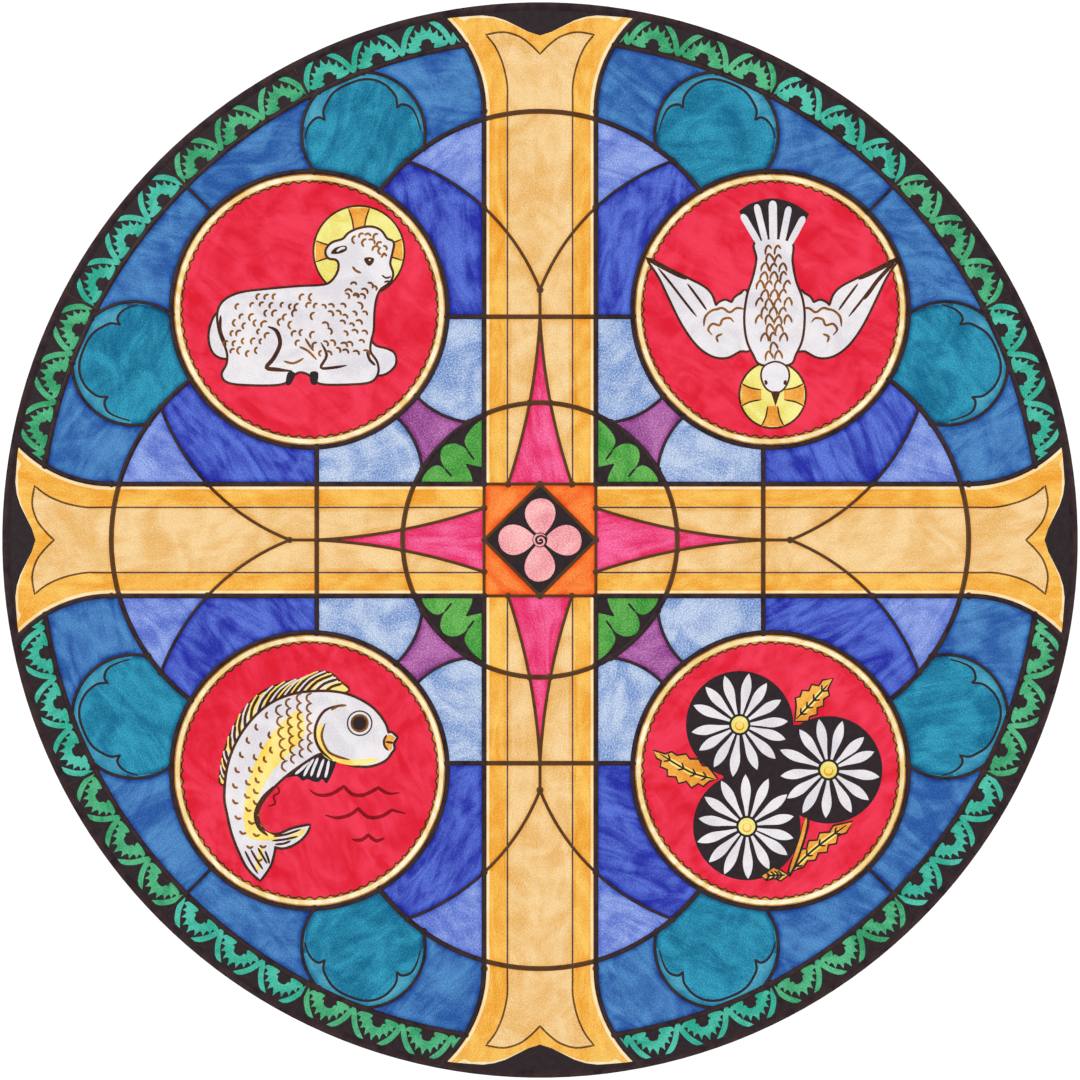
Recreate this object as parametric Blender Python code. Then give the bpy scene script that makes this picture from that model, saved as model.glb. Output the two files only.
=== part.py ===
"""A round leaded and painted glass window with a cross, a star and four medallions.

Units are metres, +Z is up and the front of the window faces -Y. The origin is on the back face
of the wide came around the edge, at the lowest point of the window, where it beds on its rebate.
"""

from collections import namedtuple
from math import acos, atan2, ceil, cos, hypot, pi, radians, sin, sqrt, tau

import bmesh
import bpy

# The whole window and the glass in it
OVERALL_RADIUS = 0.750
GLASS_THICKNESS = 0.0040

# Lead came: leaves in front of and behind the glass, and a heart between the panes
LEAF_THICKNESS = 0.0014
HEART_HALF = 0.0008
FACE_CLEARANCE = 0.0003
EDGE_CLEARANCE = 0.0004
WIDE_LEAF_HALF = 0.0035
MIDDLE_LEAF_HALF = 0.0034
SQUARE_LEAF_HALF = 0.0033
NARROW_LEAF_HALF = 0.0022

# The wide came around the edge is a channel: its leaves reach in from its outer wall
RIM_LEAF = 0.0110
RIM_WALL = 0.0030

# The border goes round inside the rim, and the pattern is drawn in it, in shares of its radius
BORDER_WIDTH = 0.052
BORDER_RADIUS = OVERALL_RADIUS - BORDER_WIDTH

# The ring about the middle of the window
RING_RADIUS = 0.2745 * BORDER_RADIUS

# The cross: straight arms whose ends flare out to the rim
ARM_HALF = 0.11175 * BORDER_RADIUS
FLARE_RADIUS = 0.25287 * BORDER_RADIUS
FLARE_START = 0.85673 * BORDER_RADIUS

# The star in the middle: four points that end on the square
SQUARE_HALF = 0.44613 * BORDER_RADIUS
STAR_BASE_HALF = 0.06375 * BORDER_RADIUS
STAR_SIDE_BULGE = 0.0118 * BORDER_RADIUS

# The four lobes of the large quatrefoil
LOBE_RADIUS = 0.40201 * BORDER_RADIUS
LOBE_CENTRE = 0.45487 * BORDER_RADIUS

# The arcs that cross on each arm above the tips of the star
ARC_CENTRE_ACROSS = 0.41375 * BORDER_RADIUS
ARC_CENTRE_UP = 0.33926 * BORDER_RADIUS
ARC_START = 0.5 * BORDER_RADIUS

# The medallions between the arms
MEDALLION_RADIUS = 0.27593 * BORDER_RADIUS
MEDALLION_CENTRE = 0.46074 * BORDER_RADIUS

# The round ends of the outer panes, beside each arm
TREFOIL_RADIUS = 0.1235 * BORDER_RADIUS
TREFOIL_ACROSS = 0.35287 * BORDER_RADIUS
TREFOIL_UP = 0.81175 * BORDER_RADIUS

# The hollow-sided triangles between the ring and the medallions
HOLLOW_TIP_ANGLE = radians(14.0)
HOLLOW_END_ANGLE = radians(6.0)
HOLLOW_SIDE_BULGE = 0.01074 * BORDER_RADIUS

# How far a straight side may lie inside the arc that it stands for
CHORD_ERROR = 0.0040
RIM_CHORD_ERROR = 0.0010

# How much of a side is kept, at the least, between its corners and the joints on it
CORNER_SHARE = 0.10

# Colours of the glass, as linear values, and of the oxidised lead
CREAM = (0.72, 0.51, 0.26)
MAGENTA = (0.72, 0.02, 0.16)
LIGHT_BLUE = (0.31, 0.49, 0.75)
ULTRAMARINE = (0.03, 0.06, 0.45)
OUTER_BLUE = (0.03, 0.13, 0.40)
TEAL = (0.01, 0.20, 0.35)
LEAF_GREEN = (0.08, 0.33, 0.03)
PURPLE = (0.30, 0.06, 0.30)
RED = (0.73, 0.01, 0.05)
EMERALD = (0.02, 0.35, 0.18)
GLASS_ROUGHNESS = 0.15
LEAD = (0.045, 0.035, 0.035)
LEAD_ROUGHNESS = 0.55
LEAD_METALLIC = 0.6
SMOOTH_ANGLE = radians(30.0)

DEPTH = 2 * LEAF_THICKNESS + 2 * FACE_CLEARANCE + GLASS_THICKNESS
CENTRE_HEIGHT = OVERALL_RADIUS - RIM_LEAF / 2

Circle = namedtuple("Circle", "centre radius leaf heart")
Line = namedtuple("Line", "normal distance leaf heart")
Edge = namedtuple("Edge", "curve within reflex")

ARMS = ("top", "right", "bottom", "left")
SIDES = {"top": ("right", "left"), "right": ("lower", "upper"),
         "bottom": ("left", "right"), "left": ("upper", "lower")}
QUARTERS = ("upper_right", "lower_right", "lower_left", "upper_left")
MEDALLIONS = ("dove", "daisy", "fish", "lamb")


# Came curves. Places are (across, up) from the middle of the window, seen from the front.


def circle(across, up, radius, leaf):
    """A round came, by the middle of its heart."""
    return Circle((across, up), radius, leaf, HEART_HALF)


def line(across, up, distance, leaf):
    """A straight came at a distance from the middle of the window, square to (across, up)."""
    return Line((across, up), distance, leaf, HEART_HALF)


def circle_through(start, end, bulge, leaf):
    """A round came through two points, with its centre to the left of the way from start to end."""
    across, up = end[0] - start[0], end[1] - start[1]
    chord = hypot(across, up)
    radius = (chord * chord / 4 + bulge * bulge) / (2 * bulge)
    reach = (radius - bulge) / chord
    middle = (start[0] + end[0]) / 2, (start[1] + end[1]) / 2
    return circle(middle[0] - up * reach, middle[1] + across * reach, radius, leaf)


def changed(curve, change):
    """The curve after a change of the window's symmetry."""
    if isinstance(curve, Circle):
        return curve._replace(centre=change(*curve.centre))
    return curve._replace(normal=change(*curve.normal))


def swapped(curve):
    return changed(curve, lambda across, up: (up, across))


def mirrored(curve):
    return changed(curve, lambda across, up: (-across, up))


def turned(curve, quarters):
    """The curve turned clockwise about the middle of the window."""
    for _ in range(quarters % 4):
        curve = changed(curve, lambda across, up: (up, -across))
    return curve


# Panes. A pane is its edges in anticlockwise order. Each knows on which side of its curve the pane lies.


def within(curve, reflex=False):
    """An edge of a pane inside a circle, or on the near side of a line. Its end may be a reflex corner."""
    return Edge(curve, True, reflex)


def beyond(curve, reflex=False):
    """An edge of a pane outside a circle, or on the far side of a line."""
    return Edge(curve, False, reflex)


def placed(edges, quarters, mirror):
    """The pane turned clockwise by quarters, and first mirrored if it lies on the other side of its arm."""
    if mirror:
        edges = [Edge(mirrored(edges[i].curve), edges[i].within, edges[i - 1].reflex)
                 for i in reversed(range(len(edges)))]
    return [edge._replace(curve=turned(edge.curve, quarters)) for edge in edges]


def moved(edge, distance):
    """The edge's curve, moved into the pane."""
    inward = -distance if edge.within else distance
    if isinstance(edge.curve, Circle):
        return edge.curve._replace(radius=edge.curve.radius + inward)
    return edge.curve._replace(distance=edge.curve.distance + inward)


def heading(edge, point):
    """The way along the edge with the pane to its left."""
    turn = 1 if edge.within else -1
    if isinstance(edge.curve, Circle):
        across, up = edge.curve.centre
        return turn * (up - point[1]), turn * (point[0] - across)
    across, up = edge.curve.normal
    return -turn * up, turn * across


def line_meets(straight, other):
    """The points where a line meets another curve."""
    across, up = straight.normal
    foot = across * straight.distance, up * straight.distance
    if isinstance(other, Line):
        slope = across * other.normal[1] - up * other.normal[0]
        rest = other.distance - foot[0] * other.normal[0] - foot[1] * other.normal[1]
        steps = (rest / slope,)
    else:
        away = foot[0] - other.centre[0], foot[1] - other.centre[1]
        along = across * away[1] - up * away[0]
        reach = sqrt(max(along * along + other.radius ** 2 - away[0] ** 2 - away[1] ** 2, 0.0))
        steps = (-along - reach, -along + reach)
    return [(foot[0] - up * step, foot[1] + across * step) for step in steps]


def circles_meet(one, other):
    """The two points where two circles meet."""
    across, up = other.centre[0] - one.centre[0], other.centre[1] - one.centre[1]
    apart = hypot(across, up)
    across, up = across / apart, up / apart
    reach = (one.radius ** 2 - other.radius ** 2 + apart * apart) / (2 * apart)
    half = sqrt(max(one.radius ** 2 - reach * reach, 0.0))
    foot = one.centre[0] + across * reach, one.centre[1] + up * reach
    return [(foot[0] - up * side, foot[1] + across * side) for side in (half, -half)]


def corner(edge, following, reach):
    """Where an edge, moved in by its reach, turns left into the next one, or right at a reflex corner."""
    one, other = moved(edge, reach(edge.curve)), moved(following, reach(following.curve))
    if isinstance(one, Line):
        points = line_meets(one, other)
    elif isinstance(other, Line):
        points = line_meets(other, one)
    else:
        points = circles_meet(one, other)

    def turn(point):
        before, after = heading(edge, point), heading(following, point)
        left = before[0] * after[1] - before[1] * after[0]
        return -left if edge.reflex else left

    return max(points, key=turn)


def corners(edges, reach):
    """The corner at the end of each edge."""
    return [corner(edge, edges[(i + 1) % len(edges)], reach) for i, edge in enumerate(edges)]


def angle_on(curve, point):
    return atan2(point[1] - curve.centre[1], point[0] - curve.centre[0])


def point_on(curve, angle):
    return curve.centre[0] + curve.radius * cos(angle), curve.centre[1] + curve.radius * sin(angle)


def came_key(curve):
    """Names one round came, whichever pane it is read from."""
    return tuple(round(value, 6) for value in (*curve.centre, curve.radius))


def joints_on_cames(panes):
    """The angles at which other cames meet each round came, so that both its sides are cut there alike."""
    joints = {}
    for _, _, edges in panes:
        if len(edges) == 1:
            continue
        ends = corners(edges, lambda curve: 0.0)
        for i, edge in enumerate(edges):
            if isinstance(edge.curve, Circle):
                for point in (ends[i - 1], ends[i]):
                    angle = round(angle_on(edge.curve, point) % tau, 5)
                    joints.setdefault(came_key(edge.curve), set()).add(angle)
    return joints


def shares(curve, first, sweep, joints, error):
    """Where an arc is cut into straight sides, as shares of its sweep: at joints, and evenly between."""
    stops = {0.0, 1.0}
    for angle in joints.get(came_key(curve), ()):
        share = ((angle - first) * (1 if sweep > 0 else -1) % tau) / abs(sweep)
        if 1e-3 < share < 1 - 1e-3:
            stops.add(share)
    stops = sorted(stops)
    widest = 2 * acos(1 - error / curve.radius) / abs(sweep)
    cuts = []
    for start, end in zip(stops, stops[1:]):
        count = ceil((end - start) / widest)
        cuts += [start + (end - start) * step / count for step in range(count)]
    return cuts


def span(edge, start, end):
    """The first angle and the sweep of an edge's arc."""
    first, last = angle_on(edge.curve, start), angle_on(edge.curve, end)
    return first, (last - first) % tau if edge.within else -((first - last) % tau)


def outline(edges, reach, joints, error=CHORD_ERROR):
    """A pane's outline, moved in from each came by its reach. It has as many points at every reach."""
    if len(edges) == 1:
        curve = moved(edges[0], reach(edges[0].curve))
        first = min(joints.get(came_key(edges[0].curve), {0.0}))
        cuts = shares(edges[0].curve, first, tau, joints, error)
        return [point_on(curve, first + tau * cut) for cut in cuts]
    points = []
    true_ends, ends = corners(edges, lambda curve: 0.0), corners(edges, reach)
    for i, edge in enumerate(edges):
        points.append(ends[i - 1])
        if isinstance(edge.curve, Line):
            continue
        true_first, true_sweep = span(edge, true_ends[i - 1], true_ends[i])
        first, sweep = span(edge, ends[i - 1], ends[i])
        curve = moved(edge, reach(edge.curve))
        cuts = shares(edge.curve, true_first, true_sweep, joints, error)[1:]
        begun = ((first - true_first + pi) % tau - pi) / sweep
        for step, cut in enumerate(cuts, 1):
            share = cut * true_sweep / sweep - begun
            room = CORNER_SHARE / (len(cuts) + 1)
            share = min(max(share, room * step), 1 - room * (len(cuts) + 1 - step))
            points.append(point_on(curve, first + sweep * share))
    return points


# The cames of the upper right quarter. The rest are these, mirrored and turned.
rim = Circle((0.0, 0.0), OVERALL_RADIUS, RIM_LEAF, RIM_WALL)
border = circle(0.0, 0.0, BORDER_RADIUS, WIDE_LEAF_HALF)
ring = circle(0.0, 0.0, RING_RADIUS, MIDDLE_LEAF_HALF)
arm_side = line(1, 0, ARM_HALF, WIDE_LEAF_HALF)
middle_side = line(0, 1, ARM_HALF, NARROW_LEAF_HALF)
square_side = line(0, 1, SQUARE_HALF, SQUARE_LEAF_HALF)
flare = circle(ARM_HALF + FLARE_RADIUS, FLARE_START, FLARE_RADIUS, WIDE_LEAF_HALF)
lobe = circle(0.0, LOBE_CENTRE, LOBE_RADIUS, MIDDLE_LEAF_HALF)
arc = circle(ARC_CENTRE_ACROSS, ARC_CENTRE_UP, hypot(ARC_CENTRE_ACROSS, ARC_START - ARC_CENTRE_UP),
             NARROW_LEAF_HALF)
medallion = circle(MEDALLION_CENTRE, MEDALLION_CENTRE, MEDALLION_RADIUS, WIDE_LEAF_HALF)
trefoil = circle(TREFOIL_ACROSS, TREFOIL_UP, TREFOIL_RADIUS, NARROW_LEAF_HALF)
star_side = circle_through((0.0, SQUARE_HALF), (STAR_BASE_HALF, ARM_HALF), STAR_SIDE_BULGE, NARROW_LEAF_HALF)
star_end = line(0, 1, SQUARE_HALF, NARROW_LEAF_HALF)
hollow_side = circle_through(
    point_on(ring, pi / 4 + HOLLOW_TIP_ANGLE),
    point_on(medallion, pi * 5 / 4 - HOLLOW_END_ANGLE),
    HOLLOW_SIDE_BULGE, NARROW_LEAF_HALF)


def all_panes():
    """(Name, colour, edges) of every pane."""
    beside_arms = {
        "light_blue_pane": (LIGHT_BLUE, [
            beyond(ring), within(hollow_side), beyond(medallion), within(square_side), beyond(arm_side)]),
        "ultramarine_pane": (ULTRAMARINE, [
            beyond(square_side), beyond(medallion), within(lobe), within(arc), beyond(arm_side)]),
        "outer_blue_pane": (OUTER_BLUE, [
            beyond(arc), within(lobe, reflex=True), beyond(trefoil), within(border), within(flare),
            beyond(arm_side)]),
        "trefoil_pane": (TEAL, [
            beyond(lobe), beyond(medallion), within(trefoil), within(border), within(trefoil)]),
    }
    between_arms = {
        "leaf_pane": (LEAF_GREEN, [beyond(swapped(arm_side)), within(ring), beyond(arm_side)]),
        "hollow_pane": (PURPLE, [
            beyond(ring), beyond(swapped(hollow_side)), beyond(medallion), beyond(hollow_side)]),
        "diagonal_pane": (OUTER_BLUE, [
            beyond(medallion), beyond(swapped(trefoil)), within(border), beyond(trefoil)]),
        "border_pane": (EMERALD, [beyond(border), within(swapped(flare)), within(rim), within(flare)]),
    }
    arm = [beyond(star_end, reflex=True), within(star_side), beyond(middle_side), within(arm_side),
           beyond(flare), within(rim), beyond(mirrored(flare)), within(mirrored(arm_side)),
           beyond(middle_side), within(mirrored(star_side), reflex=True)]
    star_point = [beyond(star_side), beyond(mirrored(star_side), reflex=True), within(middle_side),
                  within(turned(middle_side, -1), reflex=True)]
    star = []
    for quarters in range(4):
        star += placed(star_point, -quarters, False)
    panes = [("star_and_middle", MAGENTA, star)]
    for quarters, arm_name in enumerate(ARMS):
        panes.append((f"cross_arm_{arm_name}", CREAM, placed(arm, quarters, False)))
        for kind, (colour, edges) in beside_arms.items():
            panes += [(f"{kind}_{arm_name}_{side}", colour, placed(edges, quarters, mirror))
                      for mirror, side in enumerate(SIDES[arm_name])]
        panes += [(f"{kind}_{QUARTERS[quarters]}", colour, placed(edges, quarters, False))
                  for kind, (colour, edges) in between_arms.items()]
        round_pane = placed([within(medallion)], quarters, False)
        panes.append((f"{MEDALLIONS[quarters]}_medallion", RED, round_pane))
    return panes


def material(name, colour, roughness, metallic=0.0):
    made = bpy.data.materials.new(name)
    made.use_nodes = True
    shader = made.node_tree.nodes["Principled BSDF"]
    shader.inputs["Base Color"].default_value = (*colour, 1.0)
    shader.inputs["Roughness"].default_value = roughness
    shader.inputs["Metallic"].default_value = metallic
    made.diffuse_color = (*colour, 1.0)
    return made


def wall(shape, one, other):
    """Faces between two loops of as many points."""
    for i in range(len(one)):
        shape.faces.new((one[i - 1], one[i], other[i], other[i - 1]))


def finished(shape, name, look, parent):
    """The object made from a closed shape, with its round edges shaded smooth."""
    bmesh.ops.recalc_face_normals(shape, faces=shape.faces)
    mesh = bpy.data.meshes.new(name)
    shape.to_mesh(mesh)
    shape.free()
    mesh.materials.append(look)
    mesh.shade_smooth()
    mesh.set_sharp_from_angle(angle=SMOOTH_ANGLE)
    made = bpy.data.objects.new(name, mesh)
    bpy.context.scene.collection.objects.link(made)
    made.parent = parent
    return made


def pane_of_glass(name, look, points, parent):
    """A flat pane with a clearance between it and each leaf."""
    shape = bmesh.new()
    back, front = (-LEAF_THICKNESS - FACE_CLEARANCE, LEAF_THICKNESS + FACE_CLEARANCE - DEPTH)
    loops = [[shape.verts.new((across, depth, up)) for across, up in points] for depth in (back, front)]
    wall(shape, *loops)
    for loop in loops:
        shape.faces.new(loop)
    return finished(shape, name, look, parent)


def lead_net(name, look, rim_points, openings, parent):
    """All the cames, soldered into one. An opening is its outline between leaves and between hearts."""
    shape = bmesh.new()
    back, front = [], []
    inner_back, inner_front = -LEAF_THICKNESS, LEAF_THICKNESS - DEPTH

    def ring_of(points, depth):
        return [shape.verts.new((across, depth, up)) for across, up in points]

    def sides(loop):
        return [shape.edges.get((loop[i - 1], loop[i])) for i in range(len(loop))]

    outer = ring_of(rim_points, 0.0), ring_of(rim_points, -DEPTH)
    wall(shape, *outer)
    back += sides(outer[0])
    front += sides(outer[1])
    for between_leaves, between_hearts in openings:
        loops = [ring_of(between_leaves, 0.0), ring_of(between_leaves, inner_back),
                 ring_of(between_hearts, inner_back), ring_of(between_hearts, inner_front),
                 ring_of(between_leaves, inner_front), ring_of(between_leaves, -DEPTH)]
        for one, other in zip(loops, loops[1:]):
            wall(shape, one, other)
        back += sides(loops[0])
        front += sides(loops[-1])
    for edges in (back, front):
        bmesh.ops.triangle_fill(shape, use_beauty=True, edges=edges)
    return finished(shape, name, look, parent)


def build():
    for old in list(bpy.data.objects):
        bpy.data.objects.remove(old)
    centre = bpy.data.objects.new("window_centre", None)
    centre.location = (0.0, 0.0, CENTRE_HEIGHT)
    bpy.context.scene.collection.objects.link(centre)

    panes = all_panes()
    joints = joints_on_cames(panes)
    openings = []
    for name, colour, edges in panes:
        look = material(name, colour, GLASS_ROUGHNESS)
        glass = outline(edges, lambda curve: curve.heart + EDGE_CLEARANCE, joints)
        pane_of_glass(name, look, glass, centre)
        openings.append((outline(edges, lambda curve: curve.leaf, joints),
                         outline(edges, lambda curve: curve.heart, joints)))
    rim_points = outline([within(rim)], lambda curve: 0.0, joints, RIM_CHORD_ERROR)
    lead_net("lead_net", material("lead", LEAD, LEAD_ROUGHNESS, LEAD_METALLIC), rim_points, openings, centre)


build()
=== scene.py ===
import random
from cmath import phase, rect
from collections import namedtuple
from math import acos, ceil, hypot, pi, radians, sin, sqrt, tau

import bmesh
import bpy
from mathutils import Matrix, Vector
from mathutils.geometry import delaunay_2d_cdt


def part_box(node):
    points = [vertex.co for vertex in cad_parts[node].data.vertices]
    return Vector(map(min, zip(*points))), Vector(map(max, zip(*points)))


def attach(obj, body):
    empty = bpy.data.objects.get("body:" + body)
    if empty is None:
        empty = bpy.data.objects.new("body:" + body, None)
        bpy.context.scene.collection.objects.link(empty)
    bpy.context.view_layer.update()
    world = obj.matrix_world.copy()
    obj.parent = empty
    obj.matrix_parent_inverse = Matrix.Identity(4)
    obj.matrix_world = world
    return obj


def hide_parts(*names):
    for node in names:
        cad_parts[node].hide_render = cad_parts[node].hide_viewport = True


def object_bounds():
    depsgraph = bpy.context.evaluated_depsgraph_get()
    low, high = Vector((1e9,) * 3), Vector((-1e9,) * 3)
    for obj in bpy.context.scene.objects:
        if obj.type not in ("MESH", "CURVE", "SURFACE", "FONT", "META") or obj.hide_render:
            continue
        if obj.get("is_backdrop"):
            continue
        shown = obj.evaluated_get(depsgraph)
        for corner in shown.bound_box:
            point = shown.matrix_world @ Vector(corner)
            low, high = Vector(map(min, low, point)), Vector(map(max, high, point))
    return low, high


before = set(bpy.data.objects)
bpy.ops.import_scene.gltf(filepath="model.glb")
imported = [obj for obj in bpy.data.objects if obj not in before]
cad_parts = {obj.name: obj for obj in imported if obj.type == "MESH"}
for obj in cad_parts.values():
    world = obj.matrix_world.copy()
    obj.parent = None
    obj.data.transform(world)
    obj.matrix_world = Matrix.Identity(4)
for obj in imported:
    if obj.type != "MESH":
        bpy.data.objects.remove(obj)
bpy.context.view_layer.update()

# Pattern of the window, as it is drawn full size before any glass is cut: the middle line of
# every came. Places are complex numbers, across + up * 1j, from the middle of the window as
# it is seen from the front. A curve's leaf is half the width of the came that covers it. Curves
# are cut into straight steps that stray from them by SAG at most.

Circle = namedtuple("Circle", "centre radius leaf")
Line = namedtuple("Line", "normal distance leaf")
Edge = namedtuple("Edge", "curve within")

MIDDLE = (0.0, 0.7445)
WIDE, MEDIUM, SQUARE, NARROW = 0.0035, 0.0034, 0.0033, 0.0022
HEART, RIM_HEART = 0.0008, 0.0030
ARM = 0.0780
SQUARE_HALF = 0.3114
SAG = 0.00012


def dot(one, other):
    return (one.conjugate() * other).real


def through(start, end, bulge, leaf):
    """A round came through two points, with its centre to the left of the way between them."""
    chord = abs(end - start)
    radius = (chord * chord / 4 + bulge * bulge) / (2 * bulge)
    return Circle((start + end) / 2 + 1j * (end - start) / chord * (radius - bulge), radius, leaf)


def changed(curve, change):
    if isinstance(curve, Circle):
        return curve._replace(centre=change(curve.centre))
    return curve._replace(normal=change(curve.normal))


def swapped(curve):
    return changed(curve, lambda place: complex(place.imag, place.real))


def mirrored(curve):
    return changed(curve, lambda place: complex(-place.real, place.imag))


rim = Circle(0j, 0.750, 0.0110)
border = Circle(0j, 0.698, WIDE)
ring = Circle(0j, 0.1916, MEDIUM)
arm_side = Line(1 + 0j, ARM, WIDE)
middle_side = Line(1j, ARM, NARROW)
square_side = Line(1j, SQUARE_HALF, SQUARE)
flare = Circle(complex(ARM + 0.1765, 0.598), 0.1765, WIDE)
lobe = Circle(0.3175j, 0.2806, MEDIUM)
arc = Circle(0.2888 + 0.2368j, hypot(0.2888, 0.1122), NARROW)
medallion = Circle(0.3216 + 0.3216j, 0.1926, WIDE)
trefoil = Circle(0.2463 + 0.5666j, 0.0862, NARROW)
star_side = through(SQUARE_HALF * 1j, 0.0445 + ARM * 1j, 0.00824, NARROW)
hollow_side = through(rect(ring.radius, pi / 4 + radians(14)),
                      medallion.centre + rect(medallion.radius, pi * 5 / 4 - radians(6)), 0.0075, NARROW)
arm_middle = Line(1 + 0j, 0.0, NARROW)
diagonal = Line((1 - 1j) / sqrt(2), 0.0, NARROW)
border_joint = Line(rect(1, -radians(27.5)), 0.0, NARROW)
diamond_side = Line((1 + 1j) / sqrt(2), ARM / sqrt(2), NARROW)


def within(curve):
    """An edge of a pane that lies inside a circle, or on the near side of a line."""
    return Edge(curve, True)


def beyond(curve):
    return Edge(curve, False)


def moved(edge, distance):
    """The edge's curve, moved into the pane."""
    inward = -distance if edge.within else distance
    if isinstance(edge.curve, Circle):
        return edge.curve._replace(radius=edge.curve.radius + inward)
    return edge.curve._replace(distance=edge.curve.distance + inward)


def heading(edge, point):
    """The way along the edge with the pane to its left."""
    turn = 1j if edge.within else -1j
    return turn * (point - edge.curve.centre if isinstance(edge.curve, Circle) else edge.curve.normal)


def line_meets(straight, other):
    foot, way = straight.normal * straight.distance, 1j * straight.normal
    if isinstance(other, Line):
        return [foot + way * (other.distance - dot(foot, other.normal)) / dot(way, other.normal)]
    middle = dot(way, other.centre - foot)
    half = sqrt(max(other.radius ** 2 - abs(foot + way * middle - other.centre) ** 2, 0.0))
    return [foot + way * (middle - half), foot + way * (middle + half)]


def circles_meet(one, other):
    apart = abs(other.centre - one.centre)
    way = (other.centre - one.centre) / apart
    reach = (one.radius ** 2 - other.radius ** 2 + apart * apart) / (2 * apart)
    half = sqrt(max(one.radius ** 2 - reach * reach, 0.0))
    return [one.centre + way * complex(reach, side) for side in (half, -half)]


def corner(edge, following, reach):
    """Where an edge turns left into the next one."""
    one, other = moved(edge, reach(edge.curve)), moved(following, reach(following.curve))
    if isinstance(one, Line):
        points = line_meets(one, other)
    elif isinstance(other, Line):
        points = line_meets(other, one)
    else:
        points = circles_meet(one, other)
    return max(points, key=lambda p: (heading(edge, p).conjugate() * heading(following, p)).imag)


def corners(edges, reach):
    return [corner(edge, edges[(i + 1) % len(edges)], reach) for i, edge in enumerate(edges)]


def came_key(curve):
    """Names one came, whichever pane it is read from."""
    if isinstance(curve, Circle):
        return round(curve.centre.real, 5), round(curve.centre.imag, 5), round(curve.radius, 5)
    across, up = round(curve.normal.real, 5), round(curve.normal.imag, 5)
    if round(curve.distance, 5) == 0 and (across, up) < (0, 0):
        across, up = -across, -up
    return across, up, round(curve.distance, 5), "straight"


def travelled(edge, start, point):
    """How far a point lies along an edge from its start, as an angle or a length."""
    if isinstance(edge.curve, Line):
        way = heading(edge, point)
        return dot(way, point - start)
    first, last = phase(start - edge.curve.centre), phase(point - edge.curve.centre)
    return (last - first if edge.within else first - last) % tau


def along(edge, start, distance):
    if isinstance(edge.curve, Line):
        return start + heading(edge, start) * distance
    return edge.curve.centre + (start - edge.curve.centre) * rect(1, distance if edge.within else -distance)


def cuts(edge, start, end, joints):
    """Where an edge is cut between its ends: at the joints of other cames, and evenly between."""
    whole = travelled(edge, start, end) if end != start else tau
    near = 0.001 * whole
    stops = [0.0, whole]
    for joint in joints.get(came_key(edge.curve), ()):
        place = travelled(edge, start, joint)
        if -near < place < whole and all(abs(place - stop) > near for stop in stops):
            stops.append(place)
    stops.sort()
    widest = 2 * acos(1 - SAG / edge.curve.radius) if isinstance(edge.curve, Circle) else 1.0
    made = []
    for one, other in zip(stops, stops[1:]):
        count = ceil((other - one) / widest)
        made += [one + (other - one) * step / count for step in range(count)]
    return made[1:], whole


def outline(edges, reach, joints={}):
    """A pane's outline, moved in from each came by its reach, with as many points at every reach."""
    if len(edges) == 1:
        (edge,) = edges
        curve = moved(edge, reach(edge.curve))
        start = min(joints.get(came_key(edge.curve), [curve.centre + 1]), key=lambda p: (p.real, p.imag))
        places = [0.0] + cuts(edge, start, start, joints)[0]
        return [curve.centre + rect(curve.radius, phase(start - curve.centre) + place) for place in places]
    points = []
    true_ends, ends = corners(edges, lambda curve: 0.0), corners(edges, reach)
    for i, edge in enumerate(edges):
        true_start, start = true_ends[i - 1], ends[i - 1]
        points.append(start)
        shifted = edge._replace(curve=moved(edge, reach(edge.curve)))
        places, _ = cuts(edge, true_start, true_ends[i], joints)
        length = travelled(shifted, start, ends[i])
        begun = travelled(edge, true_start, start)
        if isinstance(edge.curve, Circle) and begun > pi:
            begun -= tau
        for step, place in enumerate(places, 1):
            room = 0.1 * length / (len(places) + 1)
            place = min(max(place - begun, room * step), length - room * (len(places) + 1 - step))
            points.append(along(shifted, start, place))
    return points


def placed(edges, quarters, mirror):
    """A pane turned clockwise by quarters, and first mirrored if it is on an arm's other side."""
    if mirror:
        edges = [edge._replace(curve=mirrored(edge.curve)) for edge in reversed(edges)]
    return [edge._replace(curve=changed(edge.curve, lambda place: place * (-1j) ** (quarters % 4)))
            for edge in edges]


# Panes of hand-made glass, 4 mm thick, cut to the pattern with room for the hearts of the
# cames. What is painted on a pane is fired into its face, so its colours lie flush in the
# glass. Each pane has a UV map in metres that is turned at random, as the sheet was.

BACK_FACE, FRONT_FACE = -0.0017, -0.0057
GROZING = 0.0004
FRINGE, FRINGE_STEP = 0.009, 0.012
ARMS = ("top", "right", "bottom", "left")
SIDES = (("right", "left"), ("lower", "upper"), ("left", "right"), ("upper", "lower"))
QUARTERS = ("upper_right", "lower_right", "lower_left", "upper_left")
chance = random.Random(41)
all_edges = []


def holds(points, spot):
    """Whether a spot is inside an outline, however often the outline crosses itself."""
    turns = 0
    for one, other in zip(points, points[1:] + points[:1]):
        if (one.imag <= spot.imag) != (other.imag <= spot.imag):
            left = ((other - one).conjugate() * (spot - one)).imag
            if (left > 0) == (other.imag > one.imag):
                turns += 1 if left > 0 else -1
    return turns != 0


def web_half(curve):
    """Half the thickness of a came's upright web."""
    return HEART if curve.leaf < 0.01 else RIM_HEART


def put(name, data):
    """A new object in the scene."""
    made = bpy.data.objects.new(name, data)
    bpy.context.scene.collection.objects.link(made)
    return made


def mesh_of(shape, name):
    """The finished shape as a mesh."""
    mesh = bpy.data.meshes.new(name)
    shape.to_mesh(mesh)
    shape.free()
    return mesh


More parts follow.
